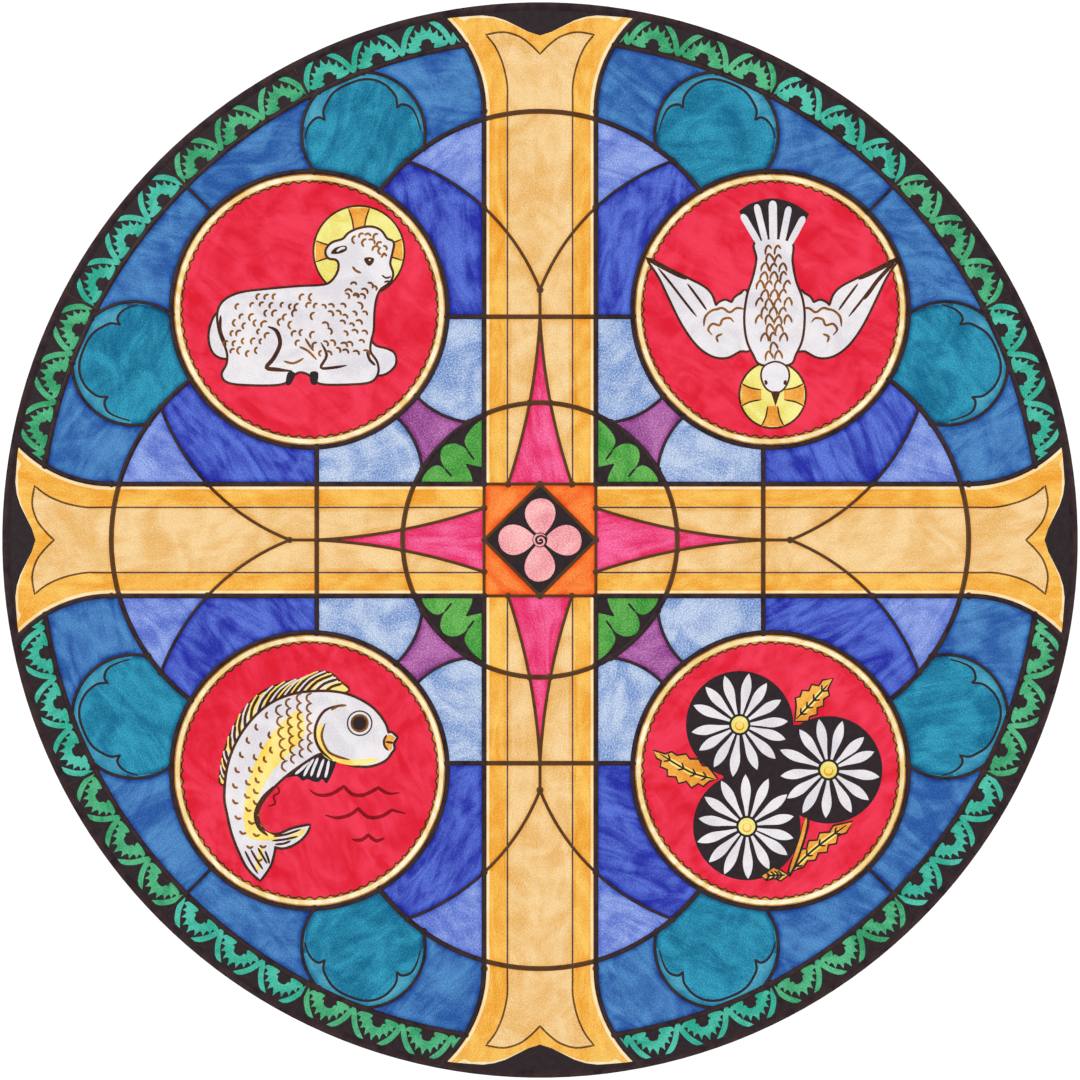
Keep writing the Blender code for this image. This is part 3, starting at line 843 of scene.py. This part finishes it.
drawn += figure(WHITE, at(mid, *body), 0.0038)
drawn += filled(YELLOW, -14, 84, -40, 66, -64, 34, -82, -4, -90, -40, -92, -70, -84, -94,
    -62, -98, -44, -94, -62, -84, -74, -70, -74, -48, -62, -18, -44, 8, -22, 30, -6, 54)
drawn += lines(YELLOW, 0.0080, (16, 66, 12, 44, 24, 22, 44, 14), (30, 18, 60, 11, 96, 15))
drawn += lines(YELLOW, 0.0060, (-66, -104, -70, -124, -72, -140), (-30, -94, -16, -90, -6, -82))
drawn += lines(LINE, 0.0040, (44, 92, 22, 84, 10, 66, 8, 46, 16, 28, 32, 14))
drawn += lines(TRACE, 0.0036, (22, 66, 17, 48, 25, 28, 38, 20, 56, 15), (30, 84, 40, 90, 52, 91))
eye = at(mid, 70, 66)[0]
drawn += [(LINE, disc(eye, 0.0180, 32)), (WHITE, disc(eye, 0.0160, 32)), (TRACE, disc(eye, 0.0128, 32)),
          (BLACK, disc(eye, 0.0095, 24))]
drawn += filled(RAY, 107, 46, 111, 50, 119, 46, 115, 38, 115, 30, 108, 28, 105, 37)
drawn += lines(LINE, 0.0034, (108, 50, 104, 42, 105, 34, 110, 28), (106, 40, 114, 39, 116, 38))
for start, end, count in ((101j, 2 + 32j, 6), (-14 + 101j, -10 + 24j, 7), (-29 + 94j, -22 + 16j, 7),
                          (-42 + 84j, -34 + 6j, 6)):
    half = abs(end - start) / (count - 1) / 2
    for n in range(count):
        drawn += tick(start + (end - start) * n / (count - 1), half, 0.0030,
                      (0.48, 1.0), (-0.4, 0.6), (-0.56, -0.3), (0.24, -1.0))
for lane, (middle, far, last) in enumerate(
        ((45 - 30j, 148, 226), (38 - 34j, 124, 216), (30 - 36j, 104, 206))):
    for n in range(20):
        way = radians(134 + n * 8.5 + lane * 4)
        if way < radians(last):
            drawn += tick(middle + far * rect(1, way), rect(1, way - pi / 2 + 0.3), 0.0034,
                          (4.5, 3.4), (-1.5, 2.6), (-3.6, -2.4))
drawn += lines(LINE, 0.0032, (-90, -112, -82, -128, -72, -144), (-82, -110, -74, -124, -65, -138),
    (-72, -108, -66, -118, -59, -130), (-52, -98, -34, -96, -16, -92), (-50, -92, -32, -89, -12, -82),
    (-48, -103, -36, -102, -26, -98), (-62, -112, -58, -122, -56, -130))
drawn += lines(LINE, 0.0056, (-50, -22, -66, -40, -75, -60, -71, -78, -58, -91))
drawn += lines(DARK_RED, 0.0030, (-46, -20, -42, -30, -50, -36, -48, -46, -58, -50))
medallion_pane("fish", 2, 1.2)

# Lamb medallion, upper left: a white lamb lies facing right with its legs folded, its head
# before a halo with three rays. Short curls of wool are traced all over it.

mid = complex(-medallion.centre.real, medallion.centre.imag)
drawn = band_around(mid, 76)
drawn += halo(at(mid, 69, 81)[0], 0.0622, 0.0028, (2, 90, 180), 0.15)
drawn += figure(WHITE, at(mid, 80, -42, 92, -52, 107, -56, 118, -63, 118, -78, 102, -90, 84, -84))
drawn += figure(WHITE, at(mid, -112, -4, -128, -6, -137, -23, -139, -43, -133, -60, -120, -67, -108, -60))
body = (20, 33, 33, 40, 41, 53, 42, 65, 37, 71, 27, 73, 24, 82, 32, 92, 47, 97, 56, 106, 70, 112, 86, 114,
    99, 109, 107, 98, 116, 93, 114, 79, 111, 64, 115, 51, 113, 42, 106, 35, 98, 29, 92, 16, 89, -3,
    88, -28, 84, -46, 84, -60, 93, -74, 94, -89, 84, -100, 56, -103, 20, -103, 8, -98, 0, -90, -12, -86,
    -22, -90, -32, -100, -48, -104, -84, -104, -112, -101, -121, -91, -114, -76, -114, -58, -124, -32,
    -127, -6, -119, 11, -97, 22, -60, 27, -15, 31)
drawn += figure(WHITE, at(mid, *body))
drawn += lines(LINE, 0.0058, (-58, -24, -46, -30, -41, -48, -50, -68, -60, -81, -44, -84, -24, -86))
drawn += lines(LINE, 0.0040, (52, -78, 34, -81, 16, -81, 24, -64, 16, -46),
    (-124, -8, -124, -30, -116, -50), (80, -58, 84, -70, 92, -78))
drawn += lines(TRACE, 0.0034, (-36, -72, -22, -75, -8, -68), (60, 60, 65, 54, 72, 51),
    (-6, -40, 0, -50, 6, -58), (-14, -52, -2, -58, 10, -70), (100, 72, 104, 78, 108, 74))
drawn += lines(LINE, 0.0026, (101, 48, 107, 44, 114, 46), (104, 38, 111, 40))
drawn += filled(LINE, 30, 78, 36, 86, 50, 89, 52, 83, 42, 78)
drawn += lines(WHITE, 0.0034, (38, 81, 44, 85, 50, 86))
drawn += filled(LINE, 76, 70, 82, 73, 90, 71, 88, 64, 82, 61)
drawn.append((GOLD, disc(at(mid, 84, 69)[0], 0.0014, 8)))
drawn += filled(BLACK, -30, -88, -20, -89, -26, -104, -33, -104)
drawn += filled(BLACK, 1, -88, 12, -88, 10, -104, 2, -103)
curls = [(62, 98, 1.2), (72, 104, 0.4), (82, 104, -0.4), (92, 103, 0.6), (76, 94, 1.0), (88, 95, -0.9),
         (97, 92, 0.4), (98, 82, 1.3), (92, 86, 0.2), (106, 86, -1.2), (55, 26, -0.4), (66, 20, -0.7),
         (78, 26, -0.9), (86, 34, -1.1), (62, 36, -0.3), (92, 30, -1.2)]
for row in range(8):
    for n in range(18):
        spot = complex(-122 + n * 12.5 + (row % 2) * 6, 19 - row * 13)
        spot += complex(chance.uniform(-3, 3), chance.uniform(-3, 3))
        on_body = -118 < spot.real < 84 and -66 < spot.imag < 20 - max(0, -70 - spot.real) * 0.4
        on_leg = (-58 < spot.real < -34 and spot.imag < -22) or (-34 < spot.real < 12 and spot.imag < -50)
        if on_body and not on_leg and chance.random() < 0.8:
            way = chance.uniform(-0.4, 0.4) + (0.9 if spot.real < 16 else -1.0)
            curls.append((spot.real, spot.imag, way))
for across, up, way in curls:
    turn = chance.uniform(0.8, 1.25) * rect(1, way)
    drawn += tick(complex(across, up), turn, 0.0032, (-4.6, -3.0), (-2.4, 1.0), (1.4, 1.8), (4.6, -0.6))
medallion_pane("lamb", 3, 2.2)

# Panes beside the arms, from the middle out: speckled light blue, streaky ultramarine, pale
# periwinkle between the arcs and the lobes, and deeper blue under the border.

light_blue = glass("light_blue_glass", (190, 206, 232), (130, 158, 208), 0.2, 1.1, 0.5)
ultramarine = glass("ultramarine_glass", (88, 114, 212), (34, 44, 164), 0.6, 0.35, 0.6)
periwinkle = glass("periwinkle_glass", (146, 168, 230), (92, 116, 204), 0.45, 0.55, 0.5)
outer_blue = glass("outer_blue_glass", (78, 138, 196), (36, 86, 160), 0.5, 0.35, 0.7)
for quarters, arm in enumerate(ARMS):
    for mirror, side in enumerate(SIDES[quarters]):
        where = f"{arm}_{side}"
        for name, node, slot, look, edges in (
                ("light_blue", "light_blue_pane", "light_blue_glass", light_blue,
                 [beyond(ring), within(hollow_side), beyond(medallion), within(square_side),
                  beyond(arm_side)]),
                ("ultramarine", "ultramarine_pane", "ultramarine_glass", ultramarine,
                 [beyond(square_side), beyond(medallion), within(lobe), within(arc), beyond(arm_side)]),
                ("periwinkle", "outer_blue_pane", "outer_blue_glass", periwinkle,
                 [beyond(arc), within(lobe), beyond(arm_side)]),
                ("outer_blue", "outer_blue_pane", "outer_blue_glass", outer_blue,
                 [beyond(lobe), beyond(trefoil), within(border), within(flare), beyond(arm_side)])):
            pane(f"{name}_{where}", f"{node}_{where}", [look], edges, (), quarters, mirror)

# Panes between the medallions and the border, in pairs of the same deep blue, parted by a
# came on the diagonal.

for quarters, quarter in enumerate(QUARTERS):
    for mirror, part in enumerate(("first", "second")):
        pane(f"diagonal_{quarter}_{part}", "diagonal_pane_" + quarter, [outer_blue],
             [beyond(medallion), within(diagonal), within(border), beyond(trefoil)], (),
             quarters + mirror, mirror)

# Round-ended panes of teal glass, with three lobes drawn in a dark line. The glass is paler
# outside the lobes.

teal = glass("teal_glass", (44, 150, 182), (8, 104, 142), 0.4, 0.45, 0.9)
pale_teal = glass("pale_teal_glass", (84, 168, 192), (44, 132, 168), 0.35, 0.3, 0.5)
lobes = at(trefoil.centre, -80, 6, -73, 27, -65, 38, -53, 41, -47, 36, -47, 36, -46, 49, -41, 58, -31, 68,
    -16, 75, 0, 76, 15, 72, 31, 65, 43, 56, 51, 44, 56, 32, 54, 19, 54, 19, 61, 23, 69, 20, 77, 10, 82, -6)
trefoil_paint = [(1, disc(trefoil.centre, 0.1)),
                 (0, smooth(lobes + at(trefoil.centre, 40, -140, -140, -90))),
                 (2, stroke(lobes, 0.0032, 0.6))]
for quarters, arm in enumerate(ARMS):
    for mirror, side in enumerate(SIDES[quarters]):
        pane(f"trefoil_{arm}_{side}", f"trefoil_pane_{arm}_{side}", [teal, pale_teal, black],
             [beyond(lobe), beyond(medallion), within(trefoil), within(border), within(trefoil)],
             trefoil_paint, quarters, mirror)

# Border: curved panes of green and blue-green by turns, painted black around a running
# pattern of leafy arches with a forked sprout between them.

emerald = glass("emerald_glass", (88, 186, 134), (48, 150, 98), 0.4, 0.45, 0.2)
sea_green = glass("sea_green_glass", (84, 196, 172), (40, 164, 138), 0.4, 0.45, 0.2)
arch = (8, 4, 5, 12, 5, 12, 12, 13, 10, 21, 10, 21, 17, 20, 17, 31, 17, 31, 24, 27, 26, 39, 26, 39, 32, 32,
        37, 44, 37, 44, 42, 32, 48, 39, 48, 39, 50, 27, 57, 31, 57, 31, 56, 20, 63, 21, 63, 21, 61, 13,
        68, 12, 68, 12, 64, 4, 46, 3, 48, 11, 48, 11, 44, 12, 42, 18, 36, 20, 30, 18, 28, 12, 24, 11, 24, 11,
        26, 3)
blades = (1, 2, 4, 14, 9, 27, 17, 39, 28, 48), (-1, 2, -4, 14, -9, 27, -17, 39, -28, 48)
PATTERN_START, SPACING = radians(10.0), radians(17.5) / 3
STRETCH, SQUASH = 0.96, 0.86


def on_border(numbers, turn, nudge=0.0):
    """Places given in millimetres along the border and out from it, bent around it."""
    made = []
    for across, out in zip(numbers[::2], numbers[1::2]):
        reach = border.radius + (4.0 + (out - 3) * SQUASH) / 1000
        made.append(rect(reach, pi / 2 - turn - (across + nudge) * STRETCH / 1000 / border.radius))
    return made


for quarters, quarter in enumerate(QUARTERS):
    for mirror, part in enumerate(("first", "second")):
        for name, first, last, edges in (
                ("end", 0, 3, [beyond(border), within(border_joint), within(rim), within(flare)]),
                ("middle", 3, 6, [beyond(border), within(diagonal), within(rim), beyond(border_joint)])):
            look = emerald if (name == "end") != bool(mirror) else sea_green
            pattern = []
            for n in range(first - (name == "end"), last + 1):
                turn = PATTERN_START + n * SPACING
                nudge = chance.uniform(-1, 1)
                pattern += [(1, stroke(on_border(blade, turn), 0.0078, 0.15, 3)) for blade in blades]
                if n < last:
                    pattern.append((1, smooth(on_border(arch, turn, nudge), True, 3)))
            pane(f"border_{quarter}_{name}_{part}", "border_pane_" + quarter, [black, look],
                 edges, pattern, quarters + mirror, mirror)

# Lead net: every came between the panes, and the wide came around the edge, in one piece. A came
# is an H in section, with domed leaves that are pressed down on the glass. Where cames meet, they
# are soldered on both faces, and each joint is a low dome of solder.

LEAD_MIDDLE = -0.0037
SECTION = ((0.0, 0.00335), (0.38, 0.00328), (0.70, 0.0030), (0.90, 0.00265), (1.0, 0.00225), (0.97, 0.00203))
WELD = 0.00003
SOLDER_WIDTH, SOLDER_HEIGHT, SOLDER_SEAT = (0.0042, 0.0052), 0.00136, 0.0022
joints = {}
for edges in all_edges:
    for i, point in enumerate(corners(edges, lambda curve: 0.0) if len(edges) > 1 else ()):
        place = complex(round(point.real, 6), round(point.imag, 6))
        for edge in (edges[i], edges[(i + 1) % len(edges)]):
            joints.setdefault(came_key(edge.curve), set()).add(place)


def lead_around(edges):
    """The half cames around one pane, from the crest in front around the heart to the crest behind."""
    shape = bmesh.new()
    reaches = [(lambda curve, share=share: share * curve.leaf, height) for share, height in SECTION]
    reaches.append((web_half, SECTION[-1][1]))
    reaches += [(reach, -height) for reach, height in reversed(reaches)]
    loop = []
    for reach, height in reaches:
        points = outline(edges, reach, joints)
        if loop:
            rails = [shape.edges.get((loop[i - 1], loop[i])) for i in range(len(loop))]
            fresh = {g for g in bmesh.ops.extrude_edge_only(shape, edges=rails)["geom"]
                     if isinstance(g, bmesh.types.BMVert)}
            loop = [next(e.other_vert(v) for e in v.link_edges if e.other_vert(v) in fresh) for v in loop]
        else:
            loop = [shape.verts.new() for _ in points]
            for i in range(len(loop)):
                shape.edges.new((loop[i - 1], loop[i]))
        for vert, point in zip(loop, points):
            vert.co = point.real + MIDDLE[0], LEAD_MIDDLE - height, point.imag + MIDDLE[1]
    return mesh_of(shape, "part")


def on_edge(vert):
    return abs(hypot(vert.co.x, vert.co.z - MIDDLE[1]) - rim.radius) < 0.0001


net = bmesh.new()
for edges in all_edges:
    part = lead_around(edges)
    net.from_mesh(part)
    bpy.data.meshes.remove(part)
bmesh.ops.remove_doubles(net, verts=net.verts[:], dist=WELD)
bmesh.ops.bridge_loops(net, edges=[e for e in net.edges
                                   if e.is_boundary and all(on_edge(v) for v in e.verts)])
bmesh.ops.recalc_face_normals(net, faces=net.faces[:])
shape = bmesh.new()
bmesh.ops.create_uvsphere(shape, u_segments=16, v_segments=8, radius=1.0)
dome = mesh_of(shape, "dome")
meets = {complex(round(p.real, 4), round(p.imag, 4)) for places in joints.values() for p in places
         if abs(p) < rim.radius - 0.01}
for p in sorted(meets, key=lambda p: (p.real, p.imag)):
    for side in (1, -1):
        width = chance.uniform(*SOLDER_WIDTH)
        place = Matrix.LocRotScale(
            (p.real + MIDDLE[0], LEAD_MIDDLE - side * SOLDER_SEAT, p.imag + MIDDLE[1]), None,
            (width, SOLDER_HEIGHT, width))
        pool = dome.copy()
        pool.transform(place @ Matrix.Rotation(pi / 2, 4, "X"))
        net.from_mesh(pool)
        bpy.data.meshes.remove(pool)
bpy.data.meshes.remove(dome)
mesh = mesh_of(net, "lead_cames")


def lead_material():
    """Oxidised lead, near black beside the blue panes. Over the cross it is painted warm brown as glow from
    the bright glass, and its front crests are painted lighter as rubbed lead with a painted highlight.
    """
    made, tree, shader = started("oxidised_lead")
    place = add(tree, "TexCoord")["Object"]
    blotches = noise(tree, place, 60.0, 6.0, 0.65)
    blotched = spread(tree, blotches, 0.35, 0.65)
    axes = add(tree, "SeparateXYZ", {"Vector": place})
    across = maths(tree, "ABSOLUTE", axes["X"])
    up = maths(tree, "ABSOLUTE", maths(tree, "SUBTRACT", axes["Z"], MIDDLE[1]))
    # Over the arms of the cross the lead is painted warm brown: painted glow, the light of the cream glass
    # spread over the dark lead.
    glow_over_arm = spread(tree, maths(tree, "MINIMUM", across, up), ARM - 0.001, ARM - 0.006)
    inside = maths(tree, "LESS_THAN", maths(tree, "MAXIMUM", across, up), 0.70)
    cold = blend(tree, blotched, colour(50, 32, 40), colour(76, 52, 58))
    glow_brown = blend(tree, blotched, colour(112, 66, 22), colour(150, 98, 44))
    lead_and_glow = blend(tree, maths(tree, "MULTIPLY", glow_over_arm, inside), cold, glow_brown)
    # The front crests and the front solder are painted lighter: rubbed lead, and a painted highlight on the
    # side that faces the lights.
    rubbed_and_highlight = maths(tree, "MULTIPLY", spread(tree, axes["Y"], -0.0067, -0.0071), blotched)
    height = maths(tree, "MULTIPLY_ADD", noise(tree, place, 700.0, 3.0), 0.3, blotches)
    feed(shader, {"Base Color": blend(tree, rubbed_and_highlight, lead_and_glow, colour(88, 66, 60)), "Metallic": 0.4,
                  "Roughness": spread(tree, blotches, 0.0, 1.0, 0.30, 0.70),
                  "Normal": bump(tree, height, 0.5, 0.0006)})
    return made


mesh.materials.append(lead_material())
mesh.shade_smooth()
mesh.set_sharp_from_angle(angle=radians(38))
cames = put("lead_cames", mesh)
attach(cames, "root")
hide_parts("lead_net")

# Floor, lights and camera: the window hangs above a pale floor in an evenly lit pale room, so
# that the glass is lit from behind. The camera looks at it squarely from the front.

shape = bmesh.new()
bmesh.ops.create_grid(shape, x_segments=4, y_segments=4, size=2.0)
bmesh.ops.translate(shape, verts=shape.verts[:], vec=(0.0, 0.0, -0.30))
pale, _, shader = started("pale_floor")
feed(shader, {"Base Color": (0.80, 0.79, 0.77, 1.0), "Roughness": 0.85})
floor = put("floor", mesh_of(shape, "floor"))
floor.data.materials.append(pale)
floor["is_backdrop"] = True

world = bpy.data.worlds.new("pale_room")
world.use_nodes = True
tree = world.node_tree
behind = add(tree, "SeparateXYZ", {"Vector": add(tree, "TexCoord")["Generated"]})["Y"]
feed(tree.nodes["Background"], {"Strength": spread(tree, behind, -0.2, 0.5, 0.22, 1.1),
                                "Color": (1.0, 1.0, 1.0, 1.0)})
bpy.context.scene.world = world

low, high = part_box("lead_net")
aim = low.lerp(high, 0.5)
for place, power in (((-2.2, -3.0, 2.6), 40.0), ((2.4, -2.6, 1.9), 20.0)):
    light = bpy.data.lights.new("soft_light", "AREA")
    light.energy = power
    light.size = 1.6
    lamp = put("soft_light", light)
    lamp.location = place
    lamp.rotation_mode = "QUATERNION"
    lamp.rotation_quaternion = (lamp.location - aim).to_track_quat("Z", "Y")

SENSOR = 36.0
FRONT_AWAY, SEEN_WIDTH = 5.993, 1.506
camera = put("camera", bpy.data.cameras.new("camera"))
camera.location = (0.0, -6.0, MIDDLE[1])
camera.rotation_euler = (pi / 2, 0.0, 0.0)
camera.data.sensor_width = SENSOR
camera.data.lens = SENSOR * FRONT_AWAY / SEEN_WIDTH
bpy.context.scene.camera = camera
bpy.context.scene.view_settings.view_transform = "Standard"

low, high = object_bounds()
